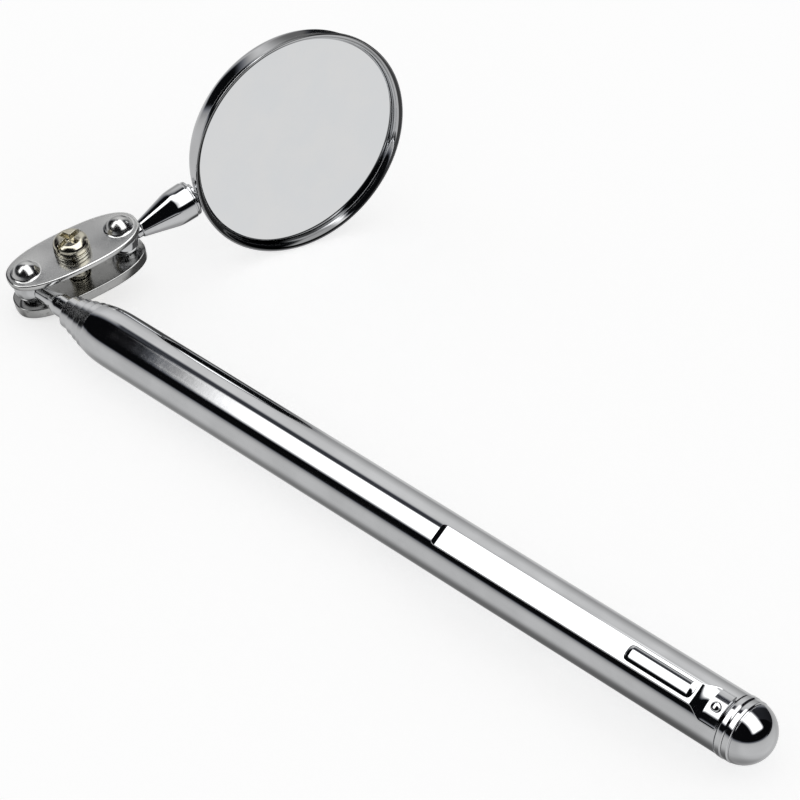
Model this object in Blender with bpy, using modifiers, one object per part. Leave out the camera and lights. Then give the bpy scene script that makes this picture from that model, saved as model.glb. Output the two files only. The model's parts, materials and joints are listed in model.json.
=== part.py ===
"""Telescopic inspection mirror: a pen-style chrome barrel with pocket clip, five nested
sliding stages, a clamped double ball joint and a round framed mirror.

Frame: +X along the handle towards the end cap, +Z up, origin at the middle of the
underside of the bounding box. While the parts are laid out the origin is the centre of
the handle-side ball; the last step moves everything to the final frame. All driving
dimensions are in millimetres and are scaled to metres. "Front" on the handle is the
joint end, "rear" the cap end.
"""
import math

import bmesh
import bpy
from mathutils import Matrix, Vector

MM = 0.001

# ---------------------------------------------------------------- driving dimensions (mm)
BARREL_R = 4.1            # outside radius of the barrel
BARREL_WALL = 0.27
BARREL_BORE_R = BARREL_R - BARREL_WALL
BARREL_LIP_X = 13.9       # front edge of the rolled barrel nose
BARREL_END_X = 123.9      # rear edge of the barrel, against the clip ring
NOSE_GAP = 0.07           # between the barrel nose and the first tube
RING_X = (123.96, 124.96)  # clip ring, held between barrel and cap
CAP_DOME_X = 125.3        # centre of the domed end

CLIP_TILT = 35.5          # degrees, clip turned about +X towards -Y
CLIP_TIP_X = 78.6
CLIP_ROOT_X = 121.5
CLIP_END_X = 123.8
CLIP_HALF_W = 1.55
CLIP_T = 0.40
CLIP_LOW = BARREL_R + 0.85  # underside of the strip, from the handle's axis
CLIP_TIP_L = 0.9          # length of the rounded, down-turned tip
CLIP_BEND_X = CLIP_ROOT_X - 1.6  # where the strip starts to change into the tab
CLIP_BEND_L = 1.7
CLIP_TAB_R = 4.30         # the tab is curved to this radius about the handle's axis
CLIP_TAB_HALF_W = 2.4
CLIP_COLUMNS = 8          # faces across the clip
RIB_X = (109.4, CLIP_ROOT_X - 1.9)
RIB_R = 2.3               # shallow bead: a large radius sunk into the strip
RIB_SINK = 2.03           # rib axis below the strip's outer face
RIB_LOW = CLIP_LOW + 0.12  # underside of the trimmed rib
RIB_TRIM_MARGIN = 3.0
RIB_TRIM_T = 5.0
RIVET_X = 122.75

TUBE_WALL = 0.19
# the four sliding tubes when closed: outside radius, rolled front edge x, rear edge x
TUBES = (
    (3.45, 12.9, 119.0),
    (3.10, 11.6, 118.0),
    (2.75, 10.2, 117.0),
    (2.40, 8.5, 116.0),
)
TUBE_GUIDE_GAP = 0.06     # between a rolled edge and the next stage inside it
ROD_R = 1.6               # innermost rod, carries the ball
ROD_REAR_X = 115.0
BUSH_LENGTH = 6.0         # friction bush at the rear of each stage
BUSH_INSET = 0.5          # rear of the bush in front of the rear of its stage
BUSH_GAP = 0.04
BUSH_ROD_GAP = 0.06

BALL_R = 2.25
SOCKET_R = BALL_R + 0.06  # hollow in the piece that carries a ball
BALL_SPACING = 14.5       # between the two ball centres
LINK_ANGLE = 72.0         # degrees, from +X to the line between the balls

PLATE_TILT = 15.1         # degrees, clamp plates about +X
PLATE_INNER = 1.95        # inner face of each plate from the middle plane
PLATE_T = 0.80
PLATE_OUTER = PLATE_INNER + PLATE_T
PLATE_HALF_L = 10.0       # oval plates: half length, half width and power of the curve
PLATE_HALF_W = 4.25
PLATE_POWER = 2.5
PLATE_POINTS = 48
PLATE_BEVEL = 0.16
PLATE_HOLE_R = 1.6
RIM_DEPTH = 0.85          # rim turned down round the lower plate
RIM_WALL = 0.75
TRAY_TOOL_T = 2.0
DIMPLE_H = 2.0            # centre height and radii of the pressed ball seats
DIMPLE_RO = 2.05
DIMPLE_RI = 1.25
DOME_LIFT = 0.15          # outer dome above the centre of the seat

FIT_GAP = 0.05            # between a plate and the washer or nut
WASHER_R = 2.55
WASHER_HOLE_R = 1.6
WASHER_T = 0.55
WASHER_LOW = PLATE_OUTER + FIT_GAP
WASHER_GAP_ANGLE = 250    # degrees about the screw, from the link line
SCREW_HEAD_R = 2.5
SCREW_HEAD_LOW = WASHER_LOW + WASHER_T + 0.04
SCREW_HEAD_TOP = SCREW_HEAD_LOW + 1.6
SCREW_SHANK_R = 1.42
SLOTS = ((6.0, 0.6, 0.6), (3.0, 0.7, 0.9))  # crossed slots: length, width, depth
SLOT_ANGLE = 20           # degrees, first slot about the screw from the link line
SLOT_TOOL_T = 1.6
NUT_AF = 5.0              # across flats
NUT_T = 2.0
NUT_TOP = -PLATE_OUTER - FIT_GAP
NUT_LOW = NUT_TOP - NUT_T
NUT_HOLE_R = 1.5

STEM_YAW = 4.62           # degrees, stem against the link line, in the plates' plane
STEM_PITCH = 3.44         # degrees, stem out of the plates' plane
STEM_LENGTH = 28.70       # ball centre to mirror centre
GLASS_ROLL = 82.98        # degrees, glass normal about the stem
GLASS_OFFSET = 1.63       # glass face in front of the stem axis
LIP_OUT_R = 16.96         # outside radius of the rolled lip of the case
LIP_R = 0.45              # radius of the roll
LIP_Z = 0.81              # middle of the roll in front of the glass face
STEM_END = STEM_LENGTH - LIP_OUT_R - 0.04  # ball centre to the wide end's shoulder
SADDLE_GAP = 0.03         # between the stem and the case
CUP_R = 16.30             # outside radius of the cup behind the lip
CUP_WALL = 0.30
CORNER_R = 1.9            # rounded corner between the cup's side and its back
CORNER_Z = -1.47
CASE_BACK = CORNER_Z - CORNER_R
CASE_FLOOR = CASE_BACK + CUP_WALL
GLASS_R = 15.94
GLASS_T = 1.4
PAD_R = 14.5
PAD_GAP = 0.05

# facets round the turned pieces
ROUND_SIDES = 32
TUBE_SIDES = 24
CASE_SIDES = 40
RIB_SIDES = 40
SMALL_SIDES = 20
RIVET_SIDES = 16

CHROME = (0.80, 0.81, 0.82)
WARM_NICKEL = (0.78, 0.74, 0.60)
BRASS = (0.72, 0.55, 0.26)
SILVERED = (0.86, 0.88, 0.89)
CARD = (0.45, 0.36, 0.26)

# ---------------------------------------------------------------- scene
for old in list(bpy.data.objects):
    bpy.data.objects.remove(old, do_unlink=True)

parts = bpy.data.collections.new("inspection_mirror")
cutters = bpy.data.collections.new("cutters")
bpy.context.scene.collection.children.link(parts)
bpy.context.scene.collection.children.link(cutters)


# ---------------------------------------------------------------- helpers
def material(name, roughness, colour=CHROME, metallic=1.0):
    mat = bpy.data.materials.new(name)
    mat.use_nodes = True
    shader = mat.node_tree.nodes["Principled BSDF"]
    shader.inputs["Base Color"].default_value = (*colour, 1.0)
    shader.inputs["Metallic"].default_value = metallic
    shader.inputs["Roughness"].default_value = roughness
    return mat


def frame(origin, z_dir, x_hint):
    """A matrix whose Z is z_dir and whose X is x_hint made square to it; origin in mm."""
    z = Vector(z_dir).normalized()
    x = Vector(x_hint)
    x = (x - x.dot(z) * z).normalized()
    matrix = Matrix((x, z.cross(x), z)).transposed().to_4x4()
    matrix.translation = Vector(origin) * MM
    return matrix


def shift(x, y, z):
    """A move given in mm."""
    return Matrix.Translation(Vector((x, y, z)) * MM)


def turn_z(degrees):
    return Matrix.Rotation(math.radians(degrees), 4, "Z")


def add(name, mesh, matrix, mat=None):
    """A visible part, or a hidden cutting tool when it has no material."""
    obj = bpy.data.objects.new(name, mesh)
    if mat is None:
        cutters.objects.link(obj)
        obj.hide_render = True
        obj.display_type = "WIRE"
    else:
        parts.objects.link(obj)
        mesh.materials.append(mat)
    obj.matrix_world = matrix
    return obj


def turned(name, profile, matrix, mat=None, steps=ROUND_SIDES, closed=False):
    """A piece turned about local Z from (radius, height) pairs in mm.

    A closed profile is a ring section; an open one starts and ends on the axis.
    """
    mesh = bpy.data.meshes.new(name)
    verts = [(radius * MM, 0.0, height * MM) for radius, height in profile]
    edges = [(i, i + 1) for i in range(len(verts) - 1)]
    if closed:
        edges.append((len(verts) - 1, 0))
    mesh.from_pydata(verts, edges, [])
    obj = add(name, mesh, matrix, mat)
    screw = obj.modifiers.new("turn", "SCREW")
    screw.axis = "Z"
    screw.angle = 2 * math.pi
    screw.steps = steps
    screw.render_steps = steps
    screw.use_merge_vertices = True
    screw.merge_threshold = 1e-6
    screw.use_smooth_shade = True
    return obj


def outline_solid(name, points, thickness, matrix, mat=None):
    """A flat outline in mm, extruded to the thickness about its own plane."""
    curve = bpy.data.curves.new(name, "CURVE")
    curve.dimensions = "2D"
    curve.fill_mode = "BOTH"
    curve.extrude = thickness * MM / 2
    spline = curve.splines.new("POLY")
    spline.points.add(len(points) - 1)
    for point, (x, y) in zip(spline.points, points):
        point.co = (x * MM, y * MM, 0.0, 1.0)
    spline.use_cyclic_u = True
    curve_obj = bpy.data.objects.new(name, curve)
    parts.objects.link(curve_obj)
    bpy.context.view_layer.update()
    graph = bpy.context.evaluated_depsgraph_get()
    mesh = bpy.data.meshes.new_from_object(curve_obj.evaluated_get(graph))
    bpy.data.objects.remove(curve_obj, do_unlink=True)

    # the filled faces and the sides come unjoined; weld them into a solid
    bm = bmesh.new()
    bm.from_mesh(mesh)
    bmesh.ops.remove_doubles(bm, verts=bm.verts, dist=1e-6)
    bm.to_mesh(mesh)
    bm.free()
    return add(name, mesh, matrix, mat)


def boolean(obj, tool, operation="DIFFERENCE"):
    mod = obj.modifiers.new(operation.lower() + "_" + tool.name, "BOOLEAN")
    mod.operation = operation
    mod.object = tool
    mod.solver = "EXACT"


def arc(centre_r, centre_z, radius, start, end, count):
    """Points on a circle in the profile plane, angles in degrees from +radius to +height."""
    angles = [math.radians(start + (end - start) * i / count) for i in range(count + 1)]
    return [(centre_r + radius * math.cos(a), centre_z + radius * math.sin(a)) for a in angles]


def rectangle(x_start, x_end, half_width):
    return [
        (x_start, -half_width),
        (x_end, -half_width),
        (x_end, half_width),
        (x_start, half_width),
    ]


def socket(radii):
    """Profile points on the hollow round a ball, ending on the axis."""
    return [(radius, math.sqrt(SOCKET_R**2 - radius**2)) for radius in radii] + [(0.0, SOCKET_R)]


# ---------------------------------------------------------------- directions and frames
def tilted_up(degrees):
    """+Z turned about +X towards -Y."""
    angle = math.radians(degrees)
    return Vector((0, -math.sin(angle), math.cos(angle)))


HANDLE = Vector((1, 0, 0))
PLATE_N = tilted_up(PLATE_TILT)          # normal of the clamp plates
PLATE_SIDE = PLATE_N.cross(HANDLE)       # in the plates' plane, square to the handle
CLIP_N = tilted_up(CLIP_TILT)            # outward from the handle's axis


def in_plane(degrees):
    """A direction in the plates' plane, turned from +X."""
    angle = math.radians(degrees)
    return (math.cos(angle) * HANDLE + math.sin(angle) * PLATE_SIDE).normalized()


LINK = in_plane(LINK_ANGLE)
MIRROR_BALL = LINK * BALL_SPACING
LINK_MIDDLE = LINK * BALL_SPACING / 2

pitch = math.radians(STEM_PITCH)
stem_flat = in_plane(LINK_ANGLE + STEM_YAW)
STEM = (stem_flat * math.cos(pitch) + PLATE_N * math.sin(pitch)).normalized()

roll = math.radians(GLASS_ROLL)
unrolled = (PLATE_N - PLATE_N.dot(STEM) * STEM).normalized()
GLASS_N = (unrolled * math.cos(roll) + STEM.cross(unrolled) * math.sin(roll)).normalized()
MIRROR_CENTRE = MIRROR_BALL + STEM * STEM_LENGTH + GLASS_N * GLASS_OFFSET

HANDLE_FRAME = frame((0, 0, 0), HANDLE, (0, 0, 1))   # local Z = towards the cap
CLIP_FRAME = frame((0, 0, 0), CLIP_N, HANDLE)
SCREW_FRAME = frame(LINK_MIDDLE, PLATE_N, LINK)
STEM_FRAME = frame(MIRROR_BALL, STEM, GLASS_N)
HEAD_FRAME = frame(MIRROR_CENTRE, GLASS_N, STEM)     # glass face at local Z = 0


# ---------------------------------------------------------------- handle
def build_barrel():
    nose_r = TUBES[0][0] + NOSE_GAP
    profile = [
        (BARREL_R, BARREL_END_X),
        (BARREL_R, 18.0),
        (4.03, 16.4),
        (3.88, 15.1),
        (3.70, 14.2),
        (3.60, BARREL_LIP_X),
        (nose_r, BARREL_LIP_X + 0.08),
        (nose_r, 15.2),
        (BARREL_BORE_R, 18.4),
        (BARREL_BORE_R, BARREL_END_X),
    ]
    mat = material("barrel_chrome", roughness=0.06)
    turned("barrel", profile, HANDLE_FRAME, mat, closed=True)


def build_clip_ring():
    front, rear = RING_X
    middle = (front + rear) / 2
    profile = [
        (4.02, rear),
        (4.18, middle + 0.28),
        (4.18, middle - 0.28),
        (4.02, front),
        (3.62, front),
        (3.62, rear),
    ]
    mat = material("ring_chrome", roughness=0.08)
    turned("clip_ring", profile, HANDLE_FRAME, mat, closed=True)


def build_end_cap():
    """Domed cap with a groove and a collar in front of the dome and a plug in the barrel."""
    profile = [(0.0, CAP_DOME_X + BARREL_R)]
    profile += arc(0.0, CAP_DOME_X, BARREL_R, 78, 12, 7)
    profile += [
        (3.92, 126.02), (3.98, 125.86), (4.12, 125.78), (4.12, 125.12), (4.02, 125.02),
        (3.55, 125.02), (3.55, 121.4), (3.35, 121.1), (0.0, 121.1),
    ]
    turned("end_cap", profile, HANDLE_FRAME, material("cap_chrome", roughness=0.05))


# ---------------------------------------------------------------- pocket clip
def clip_row(x):
    """Points across the underside of the clip at one station, in mm."""
    bend = min(max((x - CLIP_BEND_X) / CLIP_BEND_L, 0.0), 1.0)
    bend = bend * bend * (3 - 2 * bend)
    height = CLIP_LOW + (CLIP_TAB_R - CLIP_LOW) * bend
    half = CLIP_HALF_W + (CLIP_TAB_HALF_W - CLIP_HALF_W) * bend

    tip = min((x - CLIP_TIP_X) / CLIP_TIP_L, 1.0)
    half *= 0.78 + 0.22 * math.sqrt(1 - (1 - tip) ** 2)
    height -= 0.20 * (1 - tip) ** 2

    row = []
    for j in range(CLIP_COLUMNS + 1):
        across = -half + 2 * half * j / CLIP_COLUMNS
        droop = bend * (CLIP_TAB_R - math.sqrt(CLIP_TAB_R**2 - across**2))
        row.append(Vector((x, -across, height - droop)))
    return row


def clip_sheet():
    """The underside of the clip as an open sheet facing outwards."""
    stations = [CLIP_TIP_X + step for step in (0.0, 0.12, 0.36, CLIP_TIP_L)]
    stations += [95.0, 109.0]
    stations += [CLIP_BEND_X + CLIP_BEND_L * i / 5 for i in range(6)]
    stations += [CLIP_END_X - 1.1, CLIP_END_X]
    bm = bmesh.new()
    rows = [[bm.verts.new(point * MM) for point in clip_row(x)] for x in stations]
    for front, rear in zip(rows[:-1], rows[1:]):
        for j in range(CLIP_COLUMNS):
            bm.faces.new((front[j], front[j + 1], rear[j + 1], rear[j]))
    bmesh.ops.recalc_face_normals(bm, faces=bm.faces)
    bm.normal_update()
    # an open sheet may come out facing either way
    if sum(face.normal.z for face in bm.faces) < 0:
        bmesh.ops.reverse_faces(bm, faces=bm.faces)
    mesh = bpy.data.meshes.new("pocket_clip")
    bm.to_mesh(mesh)
    bm.free()
    return mesh


def clip_rib_tool():
    """Raised bead along the clip in front of its tab, trimmed flat inside the strip."""
    front, rear = RIB_X
    half = (rear - front) / 2
    # rounded end: radius, distance from the end
    end = [(0.0, 0.0), (1.9, 0.0), (2.12, 0.12), (2.24, 0.35), (RIB_R, 0.8)]
    axis_height = CLIP_LOW + CLIP_T - RIB_SINK
    rib = turned(
        "clip_rib_tool",
        [(radius, depth - half) for radius, depth in end]
        + [(radius, half - depth) for radius, depth in reversed(end)],
        frame(CLIP_N * axis_height + HANDLE * (front + half), HANDLE, CLIP_N),
        steps=RIB_SIDES,
    )
    trim = outline_solid(
        "clip_rib_trim",
        rectangle(front - RIB_TRIM_MARGIN, rear + RIB_TRIM_MARGIN, 3.0),
        RIB_TRIM_T,
        CLIP_FRAME @ shift(0, 0, RIB_LOW - RIB_TRIM_T / 2),
    )
    boolean(rib, trim)
    return rib


def build_pocket_clip():
    mat = material("clip_chrome", roughness=0.06)
    clip = add("pocket_clip", clip_sheet(), CLIP_FRAME, mat)
    sheet = clip.modifiers.new("sheet", "SOLIDIFY")
    sheet.thickness = CLIP_T * MM
    sheet.offset = 1.0
    sheet.use_even_offset = True
    boolean(clip, clip_rib_tool(), "UNION")


def build_clip_rivet():
    # heights are from the handle's axis
    profile = [(0.0, 5.22), (0.35, 5.17), (0.6, 5.02), (0.68, 4.90), (0.0, 4.90)]
    place = frame(HANDLE * RIVET_X, CLIP_N, HANDLE)
    mat = material("rivet_chrome", roughness=0.08)
    turned("clip_rivet", profile, place, mat, steps=RIVET_SIDES)


# ---------------------------------------------------------------- sliding stages
def build_tubes():
    inside_radii = [tube[0] for tube in TUBES[1:]] + [ROD_R]
    for n, ((radius, front, rear), inside) in enumerate(zip(TUBES, inside_radii), 1):
        bore = radius - TUBE_WALL
        guide = inside + TUBE_GUIDE_GAP
        profile = [
            (radius, rear),
            (radius, front + 0.45),
            (radius - 0.07, front + 0.15),
            (radius - 0.19, front),
            (guide, front + 0.03),
            (guide, front + 0.55),
            (bore, front + 0.85),
            (bore, rear),
        ]
        mat = material(f"tube_{n}_chrome", roughness=0.08)
        turned(f"tube_{n}", profile, HANDLE_FRAME, mat, steps=TUBE_SIDES, closed=True)


def build_friction_bushes():
    """A bush round the rear of each tube and of the rod, inside the stage around it."""
    bores = [BARREL_BORE_R] + [radius - TUBE_WALL for radius, _, _ in TUBES]
    stages = [(radius, BUSH_GAP, rear) for radius, _, rear in TUBES]
    stages.append((ROD_R, BUSH_ROD_GAP, ROD_REAR_X))
    for n, (bore, (radius, gap, stage_rear)) in enumerate(zip(bores, stages), 1):
        hole = radius + gap
        outside = bore - BUSH_GAP
        rear = stage_rear - BUSH_INSET
        front = rear - BUSH_LENGTH
        profile = [(outside, rear), (outside, front), (hole, front), (hole, rear)]
        mat = material(f"bush_{n}_brass", roughness=0.3, colour=BRASS)
        turned(f"friction_bush_{n}", profile, HANDLE_FRAME, mat, steps=TUBE_SIDES, closed=True)


def build_mast_rod():
    hollow = socket((1.0, 0.8, 0.6, 0.4, 0.2))
    profile = [
        (0.0, ROD_REAR_X),
        (ROD_R, ROD_REAR_X),
        (ROD_R, 6.2),
        (1.22, 4.9),
        (1.12, 3.9),
        (1.05, hollow[0][1] + 0.25),
    ]
    mat = material("rod_steel", roughness=0.1)
    turned("mast_rod", profile + hollow, HANDLE_FRAME, mat, steps=TUBE_SIDES)


# ---------------------------------------------------------------- ball joint
def build_balls():
    profile = [(0.0, BALL_R)] + arc(0.0, 0.0, BALL_R, 70, -70, 8) + [(0.0, -BALL_R)]
    for name, centre, mat_name in (
        ("handle_ball", (0, 0, 0), "ball_chrome"),
        ("mirror_ball", MIRROR_BALL, "ball_2_chrome"),
    ):
        mat = material(mat_name, roughness=0.05)
        turned(name, profile, frame(centre, PLATE_N, LINK), mat, steps=SMALL_SIDES)


def plate_points(inset=0.0):
    """Oval outline of a plate, drawn in by inset mm."""
    half_l, half_w = PLATE_HALF_L - inset, PLATE_HALF_W - inset
    power = 2 / PLATE_POWER
    points = []
    for k in range(PLATE_POINTS):
        angle = 2 * math.pi * k / PLATE_POINTS
        cos, sin = math.cos(angle), math.sin(angle)
        x = half_l * math.copysign(abs(cos) ** power, cos)
        y = half_w * math.copysign(abs(sin) ** power, sin)
        points.append((x, y))
    return points


def build_clamp_plate(name, mat, side):
    """A pressed plate with a ball seat at each end; side is +1 for the top plate."""
    lie = frame(LINK_MIDDLE, PLATE_N * side, LINK)
    depth = PLATE_T + (RIM_DEPTH if side < 0 else 0.0)
    place = lie @ shift(0, 0, PLATE_INNER + depth / 2)
    plate = outline_solid(name, plate_points(), depth, place, mat)
    edge = plate.modifiers.new("edge", "BEVEL")
    edge.width = PLATE_BEVEL * MM
    edge.segments = 1
    edge.limit_method = "ANGLE"
    edge.angle_limit = math.radians(50)
    if side < 0:
        # the lower plate is a shallow tray: its rim is turned down all round
        place = lie @ shift(0, 0, PLATE_OUTER + TRAY_TOOL_T / 2)
        boolean(plate, outline_solid(f"{name}_tray", plate_points(RIM_WALL), TRAY_TOOL_T, place))

    dome_profile = [(0.0, DIMPLE_RO)] + arc(0, 0, DIMPLE_RO, 76, 0, 5)
    dome_profile += [(DIMPLE_RO - 0.35, 0.0), (0.0, 0.0)]
    hollow_profile = [(0.0, DIMPLE_RI)] + arc(0, 0, DIMPLE_RI, 70, 0, 4)
    hollow_profile += [(DIMPLE_RI + 0.05, -0.4), (0.0, -0.4)]
    # both domes are joined on before either is hollowed
    for label, profile, lift, operation in (
        ("dome", dome_profile, DOME_LIFT, "UNION"),
        ("seat", hollow_profile, 0.0, "DIFFERENCE"),
    ):
        for n, end in ((1, -1), (2, 1)):
            place = lie @ shift(end * BALL_SPACING / 2, 0, DIMPLE_H) @ shift(0, 0, lift)
            tool = turned(f"{name}_{label}_{n}", profile, place, steps=SMALL_SIDES)
            boolean(plate, tool, operation)

    hole_profile = [(0.0, 4.0), (PLATE_HOLE_R, 4.0), (PLATE_HOLE_R, 1.0), (0.0, 1.0)]
    boolean(plate, turned(f"{name}_hole", hole_profile, lie, steps=SMALL_SIDES))


# ---------------------------------------------------------------- clamp screw, washer, nut
def build_clamp_screw():
    profile = [
        (0.0, SCREW_HEAD_TOP),
        (1.5, SCREW_HEAD_TOP - 0.08),
        (2.1, SCREW_HEAD_TOP - 0.32),
        (SCREW_HEAD_R - 0.05, SCREW_HEAD_TOP - 0.75),
        (SCREW_HEAD_R, SCREW_HEAD_TOP - 1.05),
        (SCREW_HEAD_R, SCREW_HEAD_LOW),
        (SCREW_SHANK_R, SCREW_HEAD_LOW),
        (SCREW_SHANK_R, NUT_LOW - 0.1),
        (SCREW_SHANK_R - 0.25, NUT_LOW - 0.35),
        (0.0, NUT_LOW - 0.35),
    ]
    mat = material("screw_nickel", roughness=0.2, colour=WARM_NICKEL)
    screw = turned("clamp_screw", profile, SCREW_FRAME, mat, steps=SMALL_SIDES)
    for n, (length, width, depth) in enumerate(SLOTS):
        slot = outline_solid(
            f"screw_slot_{n + 1}",
            rectangle(-length / 2, length / 2, width / 2),
            SLOT_TOOL_T,
            SCREW_FRAME
            @ turn_z(SLOT_ANGLE + 90 * n)
            @ shift(0, 0, SCREW_HEAD_TOP + SLOT_TOOL_T / 2 - depth),
        )
        boolean(screw, slot)


def build_lock_washer():
    """Washer split by a radial gap."""
    top = WASHER_LOW + WASHER_T
    profile = [
        (WASHER_R, top), (WASHER_R, WASHER_LOW), (WASHER_HOLE_R, WASHER_LOW), (WASHER_HOLE_R, top),
    ]
    mat = material("washer_nickel", roughness=0.3, colour=WARM_NICKEL)
    washer = turned("lock_washer", profile, SCREW_FRAME, mat, steps=SMALL_SIDES, closed=True)
    place = SCREW_FRAME @ turn_z(WASHER_GAP_ANGLE) @ shift(0, 0, WASHER_LOW)
    boolean(washer, outline_solid("washer_gap", rectangle(1.2, 3.4, 0.2), 2.0, place))


def build_clamp_nut():
    corner_r = NUT_AF / math.sqrt(3)
    angles = [math.radians(degrees) for degrees in range(0, 360, 60)]
    nut = outline_solid(
        "clamp_nut",
        [(corner_r * math.cos(angle), corner_r * math.sin(angle)) for angle in angles],
        NUT_T,
        SCREW_FRAME @ shift(0, 0, NUT_TOP - NUT_T / 2),
        material("nut_nickel", roughness=0.3, colour=WARM_NICKEL),
    )
    top, low = NUT_TOP + 1, NUT_LOW - 1
    profile = [(0.0, top), (NUT_HOLE_R, top), (NUT_HOLE_R, low), (0.0, low)]
    boolean(nut, turned("nut_hole", profile, SCREW_FRAME, steps=SMALL_SIDES))


# ---------------------------------------------------------------- mirror head
def case_outside(gap=0.0):
    """Outer profile of the case, grown by gap, from the top of the lip to mid-back."""
    lip = arc(LIP_OUT_R - LIP_R, LIP_Z, LIP_R + gap, 90, -118, 9)
    corner = arc(CUP_R - CORNER_R, CORNER_Z, CORNER_R + gap, 0, -90, 6)
    return lip + corner + [(0.0, CASE_BACK - gap)]


def build_stem_shank():
    """Short neck between the mirror ball and the stem."""
    hollow = socket((0.9, 0.6, 0.3))
    profile = [(0.0, 3.9), (0.98, 3.9), (1.02, hollow[0][1] + 0.2)] + hollow
    mat = material("shank_chrome", roughness=0.08)
    turned("stem_shank", profile, STEM_FRAME, mat, steps=SMALL_SIDES)


def build_mirror_stem():
    """Grooved collar and cone, shaped to the case at its wide end."""
    profile = [
        (0.0, STEM_END + 1.6),
        (1.9, STEM_END + 1.6),
        (1.9, STEM_END),
        (2.55, STEM_END),
        (2.62, STEM_END - 0.34),
        (2.45, STEM_END - 0.42),
        (2.45, STEM_END - 0.67),
        (2.72, STEM_END - 0.74),
        (2.65, 8.4),
        (1.25, 3.2),
        (1.12, 2.95),
        (1.07, 2.95),
        (1.07, 4.0),
        (0.0, 4.0),
    ]
    mat = material("stem_chrome", roughness=0.06)
    stem = turned("mirror_stem", profile, STEM_FRAME, mat, steps=TUBE_SIDES)
    saddle_profile = [(0.0, LIP_Z + LIP_R + SADDLE_GAP)] + case_outside(SADDLE_GAP)
    boolean(stem, turned("stem_saddle", saddle_profile, HEAD_FRAME, steps=CASE_SIDES))


def build_mirror_case():
    inside = [(0.0, CASE_FLOOR)]
    inside += arc(CUP_R - CORNER_R, CORNER_Z, CORNER_R - CUP_WALL, -90, 0, 5)
    inside += [(CUP_R - CUP_WALL, 0.3)]
    inside += arc(LIP_OUT_R - LIP_R, LIP_Z, LIP_R, 180, 108, 3)
    mat = material("case_chrome", roughness=0.06)
    turned("mirror_case", inside + case_outside(), HEAD_FRAME, mat, steps=CASE_SIDES)


def build_mirror_glass():
    profile = [
        (0.0, 0.0),
        (GLASS_R - 0.15, 0.0),
        (GLASS_R, -0.12),
        (GLASS_R, -GLASS_T),
        (0.0, -GLASS_T),
    ]
    mat = material("glass_mirror", roughness=0.02, colour=SILVERED)
    turned("mirror_glass", profile, HEAD_FRAME, mat, steps=CASE_SIDES)


def build_mirror_backing():
    """Card pad between the glass and the back of the case."""
    front, back = -GLASS_T - PAD_GAP, CASE_FLOOR + PAD_GAP
    profile = [(0.0, front), (PAD_R, front), (PAD_R, back), (0.0, back)]
    mat = material("backing_card", roughness=0.9, colour=CARD, metallic=0.0)
    turned("mirror_backing", profile, HEAD_FRAME, mat, steps=TUBE_SIDES)


# ---------------------------------------------------------------- final frame
def move_to_final_frame():
    """Put the origin at the middle of the underside of the bounding box."""
    bpy.context.view_layer.update()
    graph = bpy.context.evaluated_depsgraph_get()
    low = Vector((math.inf, math.inf, math.inf))
    high = -low
    for obj in parts.objects:
        shaped = obj.evaluated_get(graph)
        for vertex in shaped.to_mesh().vertices:
            place = obj.matrix_world @ vertex.co
            low = Vector(map(min, low, place))
            high = Vector(map(max, high, place))
        shaped.to_mesh_clear()
    underside = Vector(((low.x + high.x) / 2, (low.y + high.y) / 2, low.z))
    for obj in list(parts.objects) + list(cutters.objects):
        obj.matrix_world = Matrix.Translation(-underside) @ obj.matrix_world


build_barrel()
build_clip_ring()
build_end_cap()
build_pocket_clip()
build_clip_rivet()
build_tubes()
build_friction_bushes()
build_mast_rod()
build_balls()
build_clamp_plate("clamp_plate_top", material("plate_chrome", roughness=0.12), side=1)
build_clamp_plate("clamp_plate_bottom", material("plate_2_chrome", roughness=0.12), side=-1)
build_clamp_screw()
build_lock_washer()
build_clamp_nut()
build_stem_shank()
build_mirror_stem()
build_mirror_case()
build_mirror_glass()
build_mirror_backing()
move_to_final_frame()
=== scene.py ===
# A telescopic inspection mirror. The barrel lies along X, with its cap and pocket clip at the +X
# end. Four tubes and a rod slide out of its -X end towards a joint of two balls between clamp
# plates. From the second ball the stem runs mostly along +Y to a round mirror facing roughly +X.
# Sizes are in mm round the centre of the handle-side ball. make() moves them by BASE to metres.
import json
import math
from functools import reduce

import bmesh
import bpy
import numpy as np
from mathutils import Matrix, Vector
from mathutils.geometry import delaunay_2d_cdt

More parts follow.
